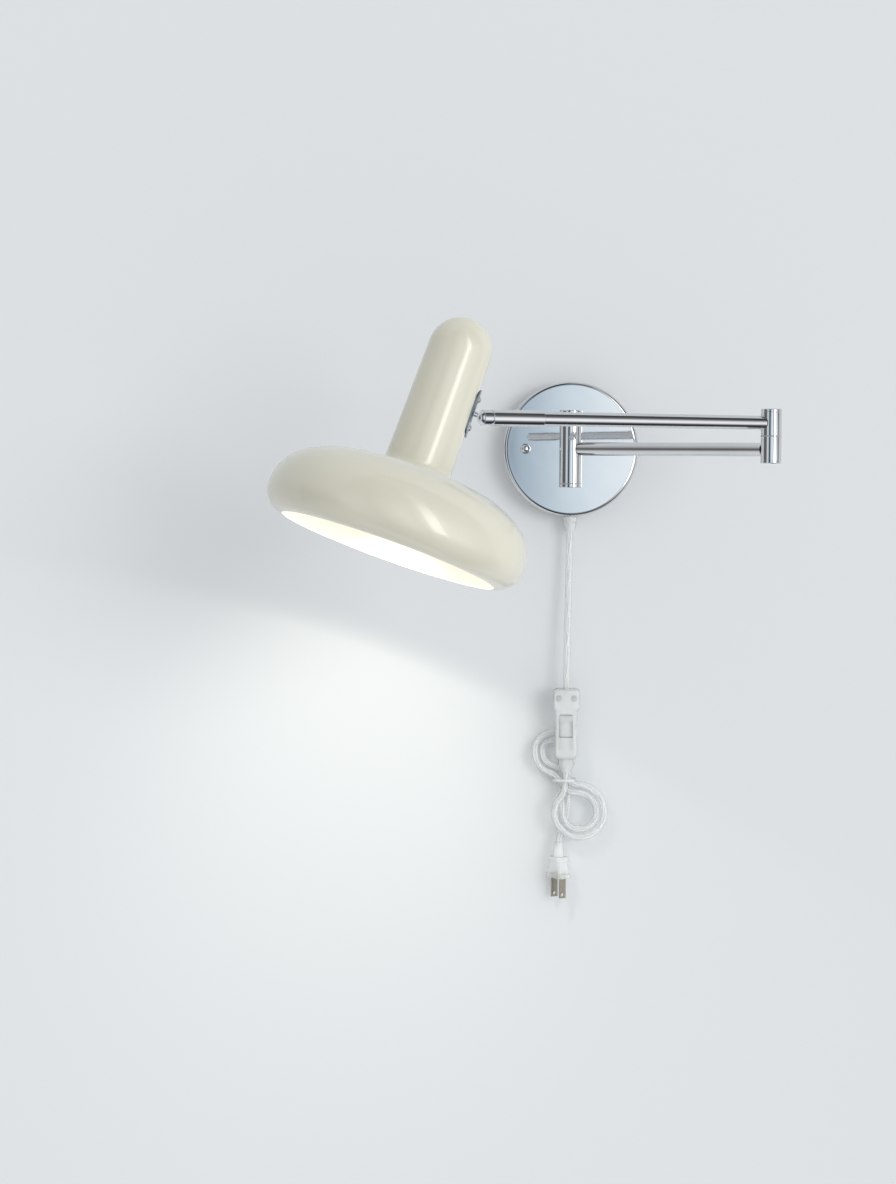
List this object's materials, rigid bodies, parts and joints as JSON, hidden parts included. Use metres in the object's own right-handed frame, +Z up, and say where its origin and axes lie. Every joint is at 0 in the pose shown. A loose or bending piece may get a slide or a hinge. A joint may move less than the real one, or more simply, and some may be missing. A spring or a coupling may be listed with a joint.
{
  "type": "swing arm wall lamp",
  "caption": "Swing arm wall lamp with a cream mushroom shade on jointed chrome arms, round chrome wall plate, clear cord with in-line switch and plug.",
  "frame": {"origin": "centre of the wall plate, on the wall", "axes": "+X to the right along the wall, +Y into the wall, +Z up"},
  "size_m": [0.4181, 0.4069, 0.5055],
  "materials": {
    "chrome": "polished",
    "zinc_steel": "zinc plated",
    "nylon": "moulded",
    "wire_sleeve": "satin",
    "cream_paint": "gloss",
    "lampholder_plastic": "moulded",
    "bare_aluminium": "drawn",
    "brass": "bare",
    "plated_brass": "dull nickel plate",
    "opal_glass": "opal",
    "clear_cord": "clear sleeve over twisted cores",
    "clear_plastic": "clear moulded"
  },
  "bodies": {
    "wall_unit": {"canopy_plate": "chrome", "mounting_bracket": "zinc_steel", "mounting_studs": "zinc_steel", "finial_nuts": "chrome", "terminal_block": "nylon", "pivot_yoke": "chrome", "stub_collar": "chrome", "stub_washer": "zinc_steel", "stub_locknut": "zinc_steel", "pivot_screws": "chrome", "cord_gland": "clear_plastic", "gland_nut": "clear_plastic", "cord_upper": "clear_cord", "switch_front_shell": "clear_plastic", "switch_back_shell": "clear_plastic", "switch_screws": "zinc_steel", "switch_contacts": "brass", "cord_hank": "clear_cord", "hank_tie": "clear_plastic", "cord_tail": "clear_cord", "plug_body": "clear_plastic", "plug_blades": "plated_brass"},
    "switch_key": {"switch_rocker": "clear_plastic"},
    "lower_arm": {"post_barrel": "chrome", "post_bushings": "nylon", "lower_arm_tube": "chrome", "elbow_lower_barrel": "chrome", "elbow_bottom_cap": "chrome", "elbow_pin": "zinc_steel", "elbow_washer": "nylon", "elbow_top_cap": "chrome", "lower_arm_wires": "wire_sleeve"},
    "upper_arm": {"elbow_upper_barrel": "chrome", "upper_arm_tube": "chrome", "arm_end_plug": "chrome", "arm_end_nut": "zinc_steel", "upper_arm_wires": "wire_sleeve"},
    "sleeve": {"swivel_sleeve": "chrome", "ball_seat": "nylon", "ball_collar": "chrome"},
    "ball": {"pivot_ball": "chrome"},
    "head": {"ball_stud": "chrome", "stud_nut": "zinc_steel", "saddle_plate": "chrome", "saddle_screws": "chrome", "saddle_nuts": "zinc_steel", "shade_shell": "cream_paint", "shade_neck": "cream_paint", "lampholder_bracket": "zinc_steel", "lampholder_body": "lampholder_plastic", "lampholder_shell": "bare_aluminium", "lampholder_contact": "brass", "bulb_cap": "bare_aluminium", "bulb_globe": "opal_glass"}
  },
  "joints": [
    {"name": "wall_swing", "type": "hinge", "parent": "wall_unit", "child": "lower_arm", "pos_m": [0, -0.045, 0], "axis": [0, 0, 1], "range_deg": [-46, 33]},
    {"name": "elbow_swing", "type": "hinge", "parent": "lower_arm", "child": "upper_arm", "pos_m": [0.16773, -0.15393, 0.0225], "axis": [0, 0, -1], "range_deg": [-155, 32]},
    {"name": "head_spin", "type": "hinge", "parent": "upper_arm", "child": "sleeve", "pos_m": [-0.07016, -0.2858, 0.0225], "axis": [-0.8746, -0.4848, 0], "range_deg": [-90, 90]},
    {"name": "head_tilt", "type": "hinge", "parent": "sleeve", "child": "ball", "pos_m": [-0.07016, -0.2858, 0.0225], "axis": [-0.2807, 0.5065, -0.8153], "range_deg": [-79, 10]},
    {"name": "head_twist", "type": "hinge", "parent": "ball", "child": "head", "pos_m": [-0.07016, -0.2858, 0.0225], "axis": [-0.9455, 0, 0.3256], "range_deg": [-90, 90]},
    {"name": "switch_rock", "type": "hinge", "parent": "wall_unit", "child": "switch_key", "pos_m": [-0.0015, -0.0231, -0.247], "axis": [1, 0, 0], "range_deg": [-12, 0]}
  ]
}
